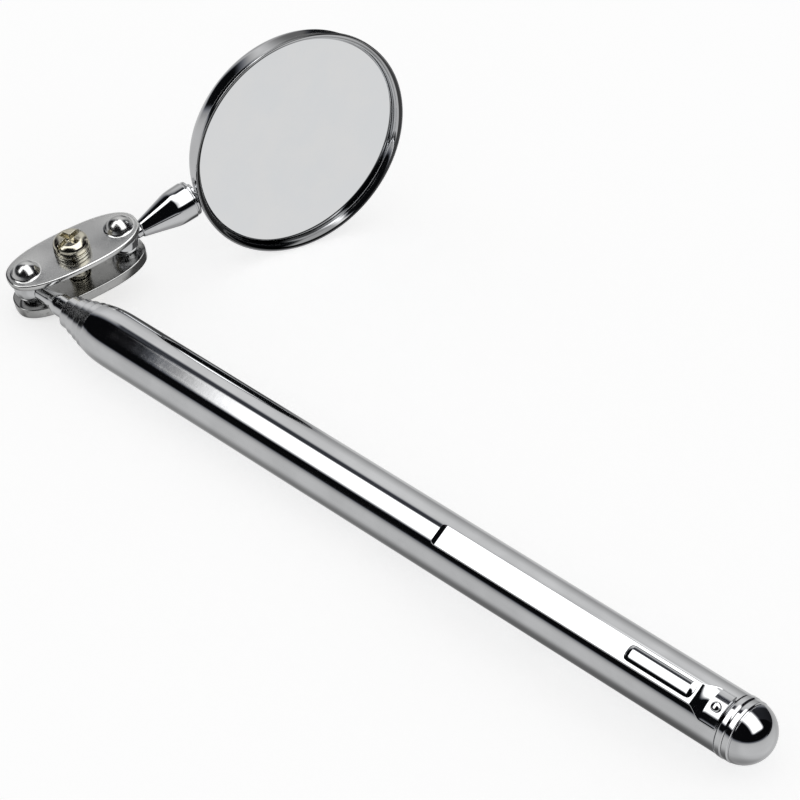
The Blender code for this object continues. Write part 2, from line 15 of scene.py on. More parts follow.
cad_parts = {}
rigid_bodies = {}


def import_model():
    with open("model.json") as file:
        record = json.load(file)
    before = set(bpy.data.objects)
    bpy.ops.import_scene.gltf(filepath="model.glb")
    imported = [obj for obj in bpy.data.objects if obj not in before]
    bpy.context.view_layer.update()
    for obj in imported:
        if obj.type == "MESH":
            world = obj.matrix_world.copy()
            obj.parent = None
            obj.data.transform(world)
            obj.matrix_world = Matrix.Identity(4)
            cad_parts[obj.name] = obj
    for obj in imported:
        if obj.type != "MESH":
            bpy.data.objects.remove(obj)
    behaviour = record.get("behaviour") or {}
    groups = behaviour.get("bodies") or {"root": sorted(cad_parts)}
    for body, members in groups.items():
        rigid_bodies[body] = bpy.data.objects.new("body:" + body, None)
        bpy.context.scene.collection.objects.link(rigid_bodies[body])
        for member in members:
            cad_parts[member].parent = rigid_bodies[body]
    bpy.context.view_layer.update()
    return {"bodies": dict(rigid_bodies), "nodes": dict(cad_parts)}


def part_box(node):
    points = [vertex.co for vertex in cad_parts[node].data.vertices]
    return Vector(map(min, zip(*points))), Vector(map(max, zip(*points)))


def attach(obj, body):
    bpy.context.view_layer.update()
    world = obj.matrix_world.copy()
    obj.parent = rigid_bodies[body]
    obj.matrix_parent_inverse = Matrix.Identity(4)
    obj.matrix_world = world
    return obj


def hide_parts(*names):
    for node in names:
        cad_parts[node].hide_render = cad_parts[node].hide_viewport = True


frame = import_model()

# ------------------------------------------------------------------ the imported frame
keep = set(frame["nodes"].values()) | set(frame["bodies"].values())
for stray in [o for o in bpy.data.objects if o not in keep]:
    bpy.data.objects.remove(stray, do_unlink=True)

MM = 0.001
box_low, box_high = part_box("handle_ball")
BASE = np.array([(box_low[i] + box_high[i]) / 2 for i in range(3)]) / MM   # ball centre


# ------------------------------------------------------------------ vectors and local frames
def vec(*xyz):
    return np.array(xyz, float)


def unit(vector):
    vector = np.asarray(vector, float)
    return vector / np.linalg.norm(vector)


def axes(origin, z, x_hint):
    """A local frame: origin, x, y, z, with x as near to x_hint as z allows."""
    z = unit(z)
    x = np.asarray(x_hint, float)
    x = unit(x - x.dot(z) * z)
    return np.asarray(origin, float), x, np.cross(z, x), z


def place(local, where):
    origin, x, y, z = where
    local = np.asarray(local, float)
    return origin + local[:, :1] * x + local[:, 1:2] * y + local[:, 2:3] * z


# ------------------------------------------------------------------ sizes shared by the pieces
BARREL_R, BARREL_END = 4.1, 123.9
ROD_R, ROD_END = 1.6, 115.0
BALL_R, SPACING = 2.25, 14.5
SOCKET_R = BALL_R + 0.06           # hollow end of the rod and of the stem neck
PLATE_IN, PLATE_T = 1.95, 0.80     # plate's inward face from the middle plane, and thickness
PLATE_OUT = PLATE_IN + PLATE_T
LIP_OUT = 16.96                    # outer radius of the mirror case
STEM_LENGTH, GLASS_OFFSET = 28.70, 1.63
CAMERA_SPOT = vec(275.397, -239.819, 256.005)

# ------------------------------------------------------------------ directions and places
ORIGIN = vec(0, 0, 0)
X = vec(1, 0, 0)
ALONG = axes(ORIGIN, X, vec(0, 0, 1))


def leaning_up(degrees):
    """+Z leaned towards -Y."""
    return vec(0, -math.sin(math.radians(degrees)), math.cos(math.radians(degrees)))


def in_plane(degrees):
    """A direction in the plane of the clamp plates, turned from +X."""
    angle = math.radians(degrees)
    return unit(math.cos(angle) * X + math.sin(angle) * PLATE_V)


PLATE_N = leaning_up(15.1)
PLATE_V = vec(0, PLATE_N[2], -PLATE_N[1])
CLIP_N = leaning_up(35.5)

LINK = in_plane(72.0)
MIRROR_BALL = LINK * SPACING
MIDDLE = LINK * SPACING / 2
STEM_LIFT = math.radians(3.44)     # stem out of the plane of the plates
STEM = unit(in_plane(76.62) * math.cos(STEM_LIFT) + PLATE_N * math.sin(STEM_LIFT))
GLASS_ROLL = math.radians(82.98)   # glass turned about the stem
across_stem = unit(PLATE_N - PLATE_N.dot(STEM) * STEM)
GLASS_N = unit(across_stem * math.cos(GLASS_ROLL)
               + np.cross(STEM, across_stem) * math.sin(GLASS_ROLL))
MIRROR_C = MIRROR_BALL + STEM * STEM_LENGTH + GLASS_N * GLASS_OFFSET

SCREW_FRAME = axes(MIDDLE, PLATE_N, LINK)
STEM_FRAME = axes(MIRROR_BALL, STEM, GLASS_N)
HEAD_FRAME = axes(MIRROR_C, GLASS_N, STEM)


# ------------------------------------------------------------------ mesh helpers
def make(name, points, faces, body, replaces, slot, mat, sharp=32.0):
    """A finished piece. Edges that turn by more than sharp degrees stay hard."""
    bm = bmesh.new()
    verts = [bm.verts.new(tuple(float(c) for c in (p + BASE) * MM)) for p in np.asarray(points)]
    for face in faces:
        face = [verts[i] for i in face]
        if len(set(face)) == len(face) and not bm.faces.get(face):
            bm.faces.new(face)
    loose = [v for v in bm.verts if not v.link_faces]
    bmesh.ops.delete(bm, geom=loose, context="VERTS")
    bmesh.ops.recalc_face_normals(bm, faces=bm.faces)
    limit = math.radians(sharp)
    for edge in bm.edges:
        edge.smooth = len(edge.link_faces) == 2 and edge.calc_face_angle() < limit
    for face in bm.faces:
        face.smooth = True
    mesh = bpy.data.meshes.new(name)
    bm.to_mesh(mesh)
    bm.free()
    mesh.materials.append(mat)
    obj = bpy.data.objects.new(name, mesh)
    bpy.context.scene.collection.objects.link(obj)
    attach(obj, body)
    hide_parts(replaces)


def smooth(t):
    t = min(max(t, 0.0), 1.0)
    return t * t * (3 - 2 * t)


def arc(centre_r, centre_z, radius, start, end, steps):
    angles = [math.radians(start + (end - start) * i / steps) for i in range(steps + 1)]
    return [(centre_r + radius * math.cos(a), centre_z + radius * math.sin(a)) for a in angles]


def fillet(points, closed=False, steps=6):
    """Rounds a profile's corners. A point is (r, z) if sharp, or (r, z, radius)."""
    rounded = []
    last = len(points) - 1
    for i, (r, z, *extra) in enumerate(points):
        here = np.array((r, z), float)
        radius = extra[0] if extra else 0.0
        if radius <= 0 or (not closed and i in (0, last)):
            rounded.append(tuple(here))
            continue
        before = np.array(points[i - 1][:2], float) - here
        after = np.array(points[(i + 1) % len(points)][:2], float) - here
        length_before, length_after = np.linalg.norm(before), np.linalg.norm(after)
        before, after = before / length_before, after / length_after
        half = math.acos(max(-1.0, min(1.0, before.dot(after)))) / 2
        if half > math.radians(88.5):
            rounded.append(tuple(here))
            continue
        cut = min(radius / math.tan(half), 0.48 * length_before, 0.48 * length_after)
        radius = cut * math.tan(half)
        centre = here + unit(before + after) * radius / math.sin(half)
        first, last_arm = here + before * cut - centre, here + after * cut - centre
        sweep = math.acos(max(-1.0, min(1.0, first.dot(last_arm) / radius**2)))
        for k in range(steps + 1):
            t = k / steps
            arm = math.sin((1 - t) * sweep) * first + math.sin(t * sweep) * last_arm
            rounded.append(tuple(centre + arm / math.sin(sweep)))
    return rounded


def catmull(points, per):
    """A smooth curve through profile points, with per steps between two of them."""
    p = np.array(points, float)
    p = np.vstack([2 * p[0] - p[1], p, 2 * p[-1] - p[-2]])
    curve = []
    for i in range(1, len(p) - 2):
        for k in range(per):
            t = k / per
            curve.append(tuple(0.5 * (
                (2 * p[i]) + (p[i + 1] - p[i - 1]) * t
                + (2 * p[i - 1] - 5 * p[i] + 4 * p[i + 1] - p[i + 2]) * t**2
                + (3 * p[i] - p[i - 1] - 3 * p[i + 1] + p[i + 2]) * t**3)))
    curve.append(tuple(p[-2]))
    return curve


def bridge(row, after):
    """Faces between two rings of vertex numbers. A ring of one is a pole."""
    count = max(len(row), len(after))
    faces = []
    for k in range(count):
        n = (k + 1) % count
        if len(row) == 1:
            faces.append((row[0], after[n], after[k]))
        elif len(after) == 1:
            faces.append((row[k], row[n], after[0]))
        else:
            faces.append((row[k], row[n], after[n], after[k]))
    return faces


def loft(rings, closed=False):
    """A skin over rings of points: the points, the faces and each ring's vertex numbers."""
    points, rows, faces = [], [], []
    for ring in rings:
        rows.append(range(len(points), len(points) + len(ring)))
        points += ring
    for row, after in zip(rows, rows[1:] + rows[:1] if closed else rows[1:]):
        faces += bridge(row, after)
    return points, faces, rows


def lathe(profile, where, seg=128, closed=False, shape=None):
    """Turns (radius, height) pairs. shape(r, angle, z) may return a changed (r, z)."""
    rings = []
    for r, z in profile:
        if r < 1e-6:
            rings.append([(0.0, 0.0, z)])
            continue
        ring = []
        for k in range(seg):
            angle = 2 * math.pi * k / seg
            ring_r, ring_z = shape(r, angle, z) if shape else (r, z)
            ring.append((ring_r * math.cos(angle), ring_r * math.sin(angle), ring_z))
        rings.append(ring)
    points, faces, _ = loft(rings, closed)
    return place(points, where), faces


# ------------------------------------------------------------------ node helpers
class Nodes:
    """Short calls for building a node tree."""

    def __init__(self, tree):
        self.tree = tree
        tree.nodes.clear()

    def set(self, socket, value):
        if isinstance(value, bpy.types.NodeSocket):
            self.tree.links.new(value, socket)
        elif isinstance(value, tuple) and socket.type == "RGBA":
            socket.default_value = (*value, 1.0)
        else:
            socket.default_value = value

    def node(self, kind, **inputs):
        node = self.tree.nodes.new(kind)
        for key, value in inputs.items():
            self.set(node.inputs[key.replace("_", " ")], value)
        return node

    def math(self, operation, first, second):
        node = self.node("ShaderNodeMath")
        node.operation = operation
        for socket, value in zip(node.inputs, (first, second, 0.0)):
            self.set(socket, value)
        return node.outputs[0]

    def plus(self, first, second):
        return self.math("ADD", first, second)

    def times(self, first, second):
        return self.math("MULTIPLY", first, second)

    def invert(self, value):
        return self.math("SUBTRACT", 1.0, value)

    def vector_math(self, operation, first, second=None, scale=None):
        node = self.node("ShaderNodeVectorMath")
        node.operation = operation
        self.set(node.inputs[0], first)
        if second is not None:
            self.set(node.inputs[1], second)
        if scale is not None:
            self.set(node.inputs["Scale"], scale)
        return node

    def step(self, value, start, end, low=0.0, high=1.0):
        """low at start, high at end, smooth between. start may be the larger."""
        if start > end:
            start, end, low, high = end, start, high, low
        node = self.node("ShaderNodeMapRange", Value=value, From_Min=start, From_Max=end,
                         To_Min=low, To_Max=high)
        node.interpolation_type = "SMOOTHSTEP"
        return node.outputs[0]

    def window(self, *edges):
        """1 inside all edges, multiplied in pairs. An edge is (value, 0 at, 1 at)."""
        steps = [self.step(*edge) for edge in edges]
        pairs = [reduce(self.times, steps[i:i + 2]) for i in range(0, len(steps), 2)]
        return reduce(self.times, pairs)

    def mix(self, amount, first, second):
        node = self.node("ShaderNodeMix")
        node.data_type = "RGBA"
        for index, value in ((0, amount), (6, first), (7, second)):
            self.set(node.inputs[index], value)
        return node.outputs[2]

    def ramp(self, value, stops):
        """Grey levels from (position, level) stops."""
        node = self.node("ShaderNodeValToRGB")
        elements = node.color_ramp.elements
        while len(elements) < len(stops):
            elements.new(0.5)
        for element, (position, level) in zip(elements, stops):
            element.position = position
            element.color = (level, level, level, 1.0)
        self.set(node.inputs[0], value)
        return node.outputs[0]

    def noise(self, coord, scale, detail, roughness):
        mapped = self.node("ShaderNodeMapping", Vector=coord, Scale=scale).outputs[0]
        return self.node("ShaderNodeTexNoise", Vector=mapped, Scale=1.0, Detail=detail,
                         Roughness=roughness).outputs[0]

    def mix_shader(self, amount, first, second):
        node = self.node("ShaderNodeMixShader", Fac=amount)
        self.set(node.inputs[1], first.outputs[0])
        self.set(node.inputs[2], second.outputs[0])
        return node

    def output(self, shader, kind="ShaderNodeOutputMaterial"):
        self.set(self.node(kind).inputs[0], shader.outputs[0])


def new_material(name):
    mat = bpy.data.materials.new(name)
    mat.use_nodes = True
    return mat, Nodes(mat.node_tree)


# ------------------------------------------------------------------ materials
def metal(name, colour, rough, spread, bump, grain=400, lines=0.0, haze=0.0, dark=None, painted_dark_reflections=()):
    """Plated metal: rough plus up to spread in clouds, lines drawn along X and haze in smudges.
    dark tarnishes in spots. Each painted dark reflection (direction, start, end, amount) paints
    shade into the colour where the view is mirrored from that direction, between those two
    cosines."""
    mat, nodes = new_material(name)
    coord = nodes.node("ShaderNodeTexCoord").outputs["Object"]
    cloud = nodes.noise(coord, (140, 140, 140), detail=3.0, roughness=0.55)
    fine = nodes.noise(coord, (grain, grain, grain), detail=4.0, roughness=0.6)
    light = tuple(min(1.0, c * 1.04) for c in colour)
    deep = tuple(c * 0.94 for c in colour)
    base = nodes.mix(nodes.step(cloud, start=0.35, end=0.65), deep, light)
    roughness = nodes.plus(rough, nodes.times(nodes.step(cloud, start=0.5, end=0.75), spread))
    height = nodes.times(fine, 1.0)
    if lines:
        streak = nodes.noise(coord, (30, 3200, 3200), detail=2.0, roughness=0.5)
        drawn = nodes.step(streak, start=0.5, end=0.72)
        roughness = nodes.plus(roughness, nodes.times(drawn, lines))
        height = nodes.plus(height, nodes.times(streak, 0.5))
    if haze:
        smudge = nodes.noise(coord, (420, 420, 420), detail=5.0, roughness=0.65)
        hazy = nodes.step(smudge, start=0.48, end=0.7)
        roughness = nodes.plus(roughness, nodes.times(hazy, haze))
    if dark:
        tarnish = nodes.noise(coord, (900, 900, 900), detail=4.0, roughness=0.7)
        base = nodes.mix(nodes.step(tarnish, start=0.52, end=0.78), base, dark)
    # painted shade: the colour turns nearly black where the view is mirrored from the given
    # direction
    for toward, start, end, amount in painted_dark_reflections:
        geometry = nodes.node("ShaderNodeNewGeometry").outputs
        sight = nodes.vector_math("SCALE", geometry["Incoming"], scale=-1.0)
        mirrored = nodes.vector_math("REFLECT", sight.outputs[0], geometry["Normal"])
        cosine = nodes.vector_math("DOT_PRODUCT", mirrored.outputs[0], toward).outputs["Value"]
        flag = nodes.times(nodes.step(cosine, start, end), amount)
        base = nodes.mix(flag, base, (0.012, 0.012, 0.013))
    relief = nodes.node("ShaderNodeBump", Strength=bump, Distance=0.00004, Height=height)
    nodes.output(nodes.node("ShaderNodeBsdfPrincipled", Metallic=1.0, Base_Color=base,
                            Roughness=roughness, Normal=relief.outputs[0]))
    return mat


def glass_material():
    """Silvered glass with faint wipe marks and dust."""
    mat, nodes = new_material("silvered_glass")
    coord = nodes.node("ShaderNodeTexCoord").outputs["Object"]
    cloud = nodes.noise(coord, (60, 160, 160), detail=4.0, roughness=0.6)
    dust = nodes.node("ShaderNodeTexVoronoi", Vector=coord, Scale=650.0).outputs["Distance"]
    clean = nodes.step(dust, start=0.05, end=0.09)
    base = nodes.mix(nodes.step(cloud, start=0.3, end=0.7),
                     (0.855, 0.87, 0.885), (0.88, 0.885, 0.89))
    base = nodes.mix(nodes.times(nodes.invert(clean), 0.10), base, (0.7, 0.7, 0.7))
    wiped = nodes.times(nodes.step(cloud, start=0.45, end=0.8), 0.02)
    nodes.output(nodes.node("ShaderNodeBsdfPrincipled", Metallic=1.0, Base_Color=base,
                            Roughness=nodes.plus(0.012, wiped)))
    return mat


def card_material():
    """Brown card with fibres."""
    mat, nodes = new_material("backing_card")
    coord = nodes.node("ShaderNodeTexCoord").outputs["Object"]
    fibre = nodes.noise(coord, (900, 3600, 900), detail=6.0, roughness=0.7)
    base = nodes.mix(nodes.step(fibre, start=0.35, end=0.65),
                     (0.36, 0.28, 0.19), (0.50, 0.41, 0.30))
    relief = nodes.node("ShaderNodeBump", Strength=0.5, Distance=0.0001, Height=fibre)
    nodes.output(nodes.node("ShaderNodeBsdfPrincipled", Roughness=0.9, Base_Color=base,
                            Normal=relief.outputs[0]))
    return mat


CHROME = (0.63, 0.635, 0.645)
barrel_mat = metal("barrel_plate", CHROME, rough=0.035, spread=0.03, lines=0.05, bump=0.05)
ring_mat = metal("ring_plate", CHROME, rough=0.05, spread=0.03, bump=0.04)
cap_mat = metal("cap_plate", CHROME, rough=0.03, spread=0.03, bump=0.03)
clip_mat = metal("clip_plate", CHROME, rough=0.04, spread=0.03, lines=0.03, bump=0.04)
tube_mat = metal("tube_plate", CHROME, rough=0.16, spread=0.05, lines=0.05, bump=0.05)
rod_mat = metal("rod_plate", CHROME, rough=0.07, spread=0.06, lines=0.04, bump=0.05)
ball_mat = metal("ball_plate", CHROME, rough=0.05, spread=0.05, bump=0.04)
plate_mat = metal("plate_plate", (0.62, 0.62, 0.615), rough=0.19, spread=0.08, haze=0.08,
                  bump=0.10, grain=900)
# painted shade: the lower plate is the same plating as the upper one, darker in colour to stand in
# for the shade on it; the dark spots are tarnish
tray_painted_shade_mat = metal("tray_plate_painted_shade", (0.44, 0.44, 0.435), rough=0.17, spread=0.08, haze=0.08,
                 bump=0.10, grain=900, dark=(0.20, 0.195, 0.18))
screw_mat = metal("screw_nickel", (0.58, 0.55, 0.455), rough=0.13, spread=0.10, haze=0.10,
                  bump=0.30, grain=1600, dark=(0.16, 0.14, 0.10))
washer_mat = metal("washer_nickel", (0.58, 0.56, 0.48), rough=0.2, spread=0.12, haze=0.1,
                   bump=0.25, grain=1400, dark=(0.34, 0.31, 0.24))
nut_mat = metal("nut_nickel", (0.66, 0.62, 0.50), rough=0.18, spread=0.1, haze=0.1,
                bump=0.25, grain=1400, dark=(0.38, 0.34, 0.24))
stem_mat = metal("stem_plate", CHROME, rough=0.045, spread=0.04, bump=0.04)
brass_mat = metal("bush_brass", (0.70, 0.52, 0.24), rough=0.26, spread=0.12, lines=0.1,
                  bump=0.2, dark=(0.42, 0.28, 0.12))
glass_mat = glass_material()
card_mat = card_material()


# ------------------------------------------------------------------ CAD pieces that stay
def repaint(node, mat):
    piece = frame["nodes"][node]
    if not piece.material_slots:
        piece.data.materials.append(mat)
    for slot in piece.material_slots:
        slot.material = mat


for i in range(1, 6):
    repaint(f"friction_bush_{i}", brass_mat)
repaint("mirror_backing", card_mat)

# ------------------------------------------------------------------ barrel, ring and cap
BORE_R, BARREL_MID = 3.83, 72.0
# (radius, x) from the straight barrel to the nose, outside
NOSE = [(4.1, 20.5), (4.1, 19.0), (4.085, 17.6), (4.03, 16.4), (3.93, 15.4), (3.82, 14.75),
        (3.74, 14.35), (3.665, 14.04)]
# (radius, x) from the lip back to the bore, inside
MOUTH = [(3.52, 14.2), (3.54, 15.2), (3.70, 17.2), (BORE_R, 18.6), (BORE_R, 20.0)]
# (radius, x, corner radius)
CLIP_RING = [(3.62, 123.96), (4.05, 123.96, 0.03), (4.18, 124.14, 0.14), (4.18, 124.78, 0.14),
             (4.05, 124.96, 0.03), (3.62, 124.96)]
DOME_X = 125.3
# (radius, x, corner radius) from the foot of the dome to the plug inside the barrel
CAP_FOOT = [(3.99, 126.12), (3.90, 126.02, 0.05), (3.94, 125.90, 0.05), (4.12, 125.80, 0.06),
            (4.12, 125.08, 0.06), (4.03, 125.02), (3.55, 125.02, 0.04), (3.55, 121.4, 0.1),
            (3.30, 121.1, 0.1), (0.0, 121.1)]


def build_barrel():
    lip = arc(3.60, 13.975, 0.065, 15, -90, 6) + arc(3.60, 13.975, 0.065, 250, 185, 4)
    rear = [(3.87, BARREL_END), (4.04, BARREL_END), (4.09, BARREL_END - 0.03),
            (BARREL_R, BARREL_END - 0.1), (BARREL_R, BARREL_MID)]
    bore = [(BORE_R, BARREL_MID), (BORE_R, BARREL_END - 0.04)]
    profile = rear + catmull(NOSE, per=5) + lip + catmull(MOUTH, per=4) + bore
    make("barrel_tube", *lathe(profile, ALONG, 160, closed=True),
         "handle", "barrel", "barrel_chrome", barrel_mat, sharp=40)


def build_ring():
    profile = fillet(CLIP_RING, closed=True, steps=5)
    make("clip_band", *lathe(profile, ALONG, 128, closed=True),
         "handle", "clip_ring", "ring_chrome", ring_mat)


def build_cap():
    profile = [(0.0, DOME_X + BARREL_R)] + arc(0.0, DOME_X, BARREL_R, 87, 12.2, 26)
    profile += fillet(CAP_FOOT, steps=4)[1:]
    make("cap_dome", *lathe(profile, ALONG, 128), "handle", "end_cap", "cap_chrome", cap_mat)


# ------------------------------------------------------------------ pocket clip
CLIP_TIP, CLIP_ROOT, CLIP_END = 78.6, 121.5, 123.8
CLIP_W, CLIP_T, CLIP_EDGE = 3.1, 0.40, 0.13
CLIP_HEIGHT = BARREL_R + 0.85      # underside of the strip, from the barrel axis
TIP_LENGTH = 0.9                   # rounded, drooping tip
BEND, BEND_LENGTH = CLIP_ROOT - 1.6, 1.7
TAB_R, TAB_HALF = 4.30, 2.4        # wide tab curved round the ring
RIB_A, RIB_B = 109.4, CLIP_ROOT - 1.9
RIB_R, RIB_END_R, RIB_SINK = 2.3, 1.92, 2.03
RIB_TAPER = 0.8
RIVET_X, RIVET_R = 122.75, 0.66


def clip_shape(x):
    """Height of the underside, half width, and how far the strip has become the tab, 0 to 1."""
    t = smooth((x - BEND) / BEND_LENGTH)
    height = CLIP_HEIGHT + (TAB_R - CLIP_HEIGHT) * t
    half = CLIP_W / 2 + (TAB_HALF - CLIP_W / 2) * t
    if x - CLIP_TIP < TIP_LENGTH:
        s = (x - CLIP_TIP) / TIP_LENGTH
        half *= 0.78 + 0.22 * math.sqrt(1 - (1 - s) ** 2)
        height -= 0.20 * (1 - s) ** 2
    return height, half, t


def tab_dip(across, t):
    """Drop of the curved tab at a distance from its middle line."""
    return t * (TAB_R - math.sqrt(TAB_R**2 - across * across))


def rib_height(x, across):
    """A shallow pressed bead with rounded ends and a small fillet at its foot."""
    reach = min(x - RIB_A, RIB_B - x)
    if reach < -0.15:
        return 0.0
    if reach >= RIB_TAPER:
        radius = RIB_R
    elif reach >= 0:
        swell = math.sqrt(max(0.0, 1 - (1 - reach / RIB_TAPER) ** 2.2))
        radius = RIB_END_R + (RIB_R - RIB_END_R) * swell
    else:
        radius = RIB_END_R + 0.6 * reach
    rise = math.sqrt(max(0.0, radius * radius - across * across)) - RIB_SINK
    blend = 0.035
    return max(0.0, 0.5 * (rise + math.sqrt(rise * rise + blend * blend)))


def clip_section(x):
    """(x, y, z) points once round the strip at x."""
    height, half, t = clip_shape(x)
    flat = half - CLIP_EDGE
    under, over = height + CLIP_EDGE, height + CLIP_T - CLIP_EDGE

    def corner(side, level, *degrees):
        angles = [math.radians(d) for d in degrees]
        return [(side * flat + CLIP_EDGE * math.cos(a),
                 level + CLIP_EDGE * math.sin(a) - tab_dip(flat, t)) for a in angles]

    bottom = [-flat + 2 * flat * k / 10 for k in range(11)]
    top = [flat - 2 * flat * k / 40 for k in range(41)]
    section = [(w, height - tab_dip(w, t)) for w in bottom]
    section += corner(1, under, -67.5, -45, -22.5, 0) + corner(1, over, 0, 22.5, 45, 67.5)
    section += [(w, height + CLIP_T - tab_dip(w, t) + rib_height(x, w)) for w in top]
    section += corner(-1, over, 112.5, 135, 157.5, 180)
    section += corner(-1, under, 180, 202.5, 225, 247.5)
    return [(x, -w, z) for w, z in section]


def clip_stations():
    """Places of the sections along x, close together at the tip, rib ends and bend."""
    spread = [1.35 * (k / 16) ** 1.6 for k in range(17)]
    stations = [CLIP_TIP + TIP_LENGTH * (1 - math.cos(math.pi / 2 * k / 12)) for k in range(13)]
    stations += [85.0, 90.0, 95.0, 100.0, 105.0, 108.0, 112.0, 114.0, 116.0]
    stations += [RIB_A - 0.1 + s for s in spread] + [RIB_B + 0.1 - s for s in spread]
    stations += [BEND + BEND_LENGTH * k / 12 for k in range(13)]
    stations += [121.9, 122.3, 122.8, 123.3, 123.72, CLIP_END]
    return sorted(set(round(s, 5) for s in stations))


def build_clip():
    points, faces, rows = loft([clip_section(x) for x in clip_stations()])
    for row, shift in ((rows[0], -0.05), (rows[-1], 0.02)):
        # an inner ring along the curved middle of the strip keeps the end round
        inner = range(len(points), len(points) + len(row))
        for i in row:
            x, y, z = points[i]
            height, _, t = clip_shape(x)
            middle = height + CLIP_T / 2 - tab_dip(y, t)
            points.append((x + shift, y * 0.97, z + (middle - z) * 0.25))
        faces += bridge(row, inner)
        faces.append(tuple(inner))
    make("clip_strip", place(points, axes(ORIGIN, CLIP_N, X)), faces,
         "clip", "pocket_clip", "clip_chrome", clip_mat, sharp=38)


def build_rivet():
    angles = [math.radians(a) for a in range(6, 86, 6)]
    profile = [(0.0, 5.22)]
    profile += [(RIVET_R * math.sin(a), 4.90 + 0.32 * math.cos(a) ** 0.8) for a in angles]
    profile += [(0.68, 4.89), (RIVET_R, 4.80), (0.0, 4.80)]
    make("clip_rivet_head", *lathe(profile, axes(X * RIVET_X, CLIP_N, X), 48),
         "clip", "clip_rivet", "rivet_chrome", clip_mat)


# ------------------------------------------------------------------ sliding tubes, rod, balls
# (outer radius, x of the end nearest the balls, x of the end in the barrel)
TUBES = [(3.45, 12.9, 119.0), (3.10, 11.6, 118.0), (2.75, 10.2, 117.0), (2.40, 8.5, 116.0)]
TUBE_WALL = 0.19
ROD_RIM_R = 1.0                    # radius of the rod's end where it meets the ball
# (radius, x) of the rod's neck
ROD_NECK = [(ROD_R, 6.9), (1.59, 6.25), (1.44, 5.6), (1.23, 4.9), (1.12, 4.1), (1.06, 3.4),
            (1.04, 2.8)]


def build_tubes():
    next_radii = [tube[0] for tube in TUBES[1:]] + [ROD_R]
    for i, ((radius, front, rear), next_r) in enumerate(zip(TUBES, next_radii), 1):
        inner, guide = radius - TUBE_WALL, next_r + 0.06
        profile = fillet([(inner, rear), (radius, rear, 0.03), (radius, front, 0.22),
                          (guide, front, 0.09), (guide, front + 0.55, 0.05),
                          (inner, front + 0.9, 0.05)], closed=True, steps=7)
        make(f"stage_tube_{i}", *lathe(profile, ALONG, 112, closed=True),
             f"stage_{i}", f"tube_{i}", "tube_chrome", tube_mat)


def socket_rim(radius):
    """Distance from the ball's centre at which the socket has this radius."""
    return math.sqrt(SOCKET_R**2 - radius**2)


def socket(angles):
    """The hollow round a ball, from its rim to the axis."""
    hollow = [(SOCKET_R * math.sin(a), SOCKET_R * math.cos(a)) for a in angles]
    return hollow + [(0.0, SOCKET_R)]


def build_rod():
    front = socket_rim(ROD_RIM_R)
    profile = [(0.0, ROD_END), (1.15, ROD_END), (ROD_R, ROD_END - 0.1), (ROD_R, 60.0)]
    profile += catmull(ROD_NECK + [(1.04, front + 0.12)], per=5) + [(ROD_RIM_R, front)]
    profile += socket(np.linspace(math.asin(ROD_RIM_R / SOCKET_R) * 0.8, 0.05, 5))
    make("mast", *lathe(profile, ALONG, 96), "rod", "mast_rod", "rod_steel", rod_mat, sharp=40)


def build_balls():
    side = arc(0.0, 0.0, BALL_R, 90, -90, 48)[1:-1]
    profile = [(0.0, BALL_R)] + side + [(0.0, -BALL_R)]
    for name, centre, body, node in (("handle_side_ball", ORIGIN, "ball_1", "handle_ball"),
                                     ("mirror_side_ball", MIRROR_BALL, "ball_2", "mirror_ball")):
        make(name, *lathe(profile, axes(centre, PLATE_N, LINK), 96),
             body, node, "ball_chrome", ball_mat)


# ------------------------------------------------------------------ clamp plates
HALF_L, HALF_W, POWER = 10.0, 4.25, 2.5    # superellipse outline
EDGE_OUT, EDGE_IN = 0.24, 0.16             # edge rounding on the outward and inward faces
RIM_DEPTH, RIM_WALL = 0.85, 0.75           # turned-out rim of the lower plate
RIM_FOOT, FOOT_LENGTH = RIM_WALL - 0.12, 0.30
# pressed dome over each ball: centre height, radius, fillet, and the fillet's two radii
DOME_C, DOME_R, DOME_F = 2.15, 2.05, 0.42
DOME_OUT = math.sqrt((DOME_R + DOME_F) ** 2 - (PLATE_OUT + DOME_F - DOME_C) ** 2)
DOME_FOOT = DOME_OUT * DOME_R / (DOME_R + DOME_F)
SEAT_C, SEAT_R, SEAT_EDGE = 2.0, 1.25, 1.249
HOLE_R = 1.60


def plate_outline(count=240):
    """The outline with its points evenly spaced along the edge."""
    outline = []
    for k in range(count):
        c, s = math.cos(2 * math.pi * k / count), math.sin(2 * math.pi * k / count)
        outline.append((HALF_L * math.copysign(abs(c) ** (2 / POWER), c),
                        HALF_W * math.copysign(abs(s) ** (2 / POWER), s)))
    outline = np.array(outline + outline[:1])
    lengths = np.linalg.norm(np.diff(outline, axis=0), axis=1)
    run = np.concatenate([[0], np.cumsum(lengths)])
    at = np.linspace(0, run[-1], count + 1)[:-1]
    return np.column_stack([np.interp(at, run, outline[:, axis]) for axis in (0, 1)])


def inset(loop, distance):
    ahead = np.roll(loop, -1, axis=0) - loop
    behind = loop - np.roll(loop, 1, axis=0)
    along = (ahead / np.linalg.norm(ahead, axis=1)[:, None]
             + behind / np.linalg.norm(behind, axis=1)[:, None])
    along /= np.linalg.norm(along, axis=1)[:, None]
    return loop + np.stack([-along[:, 1], along[:, 0]], axis=1) * distance


def circle(radius, count, centre_x=0.0):
    angles = [2 * math.pi * k / count for k in range(count)]
    return [(centre_x + radius * math.cos(a), radius * math.sin(a)) for a in angles]


def dome(r):
    if r >= DOME_OUT:
        return PLATE_OUT
    if r > DOME_FOOT:
        return PLATE_OUT + DOME_F - math.sqrt(max(0.0, DOME_F**2 - (DOME_OUT - r) ** 2))
    return DOME_C + math.sqrt(DOME_R**2 - r * r)


def seat(r):
    """Hollow for the ball in the inward face."""
    return PLATE_IN if r >= SEAT_EDGE else SEAT_C + math.sqrt(max(0.0, SEAT_R**2 - r * r))


def rounding(radius, depth):
    """How far a rounded edge falls short of the face, at a depth in from the edge."""
    return radius - math.sqrt(radius**2 - (radius - min(depth, radius)) ** 2)


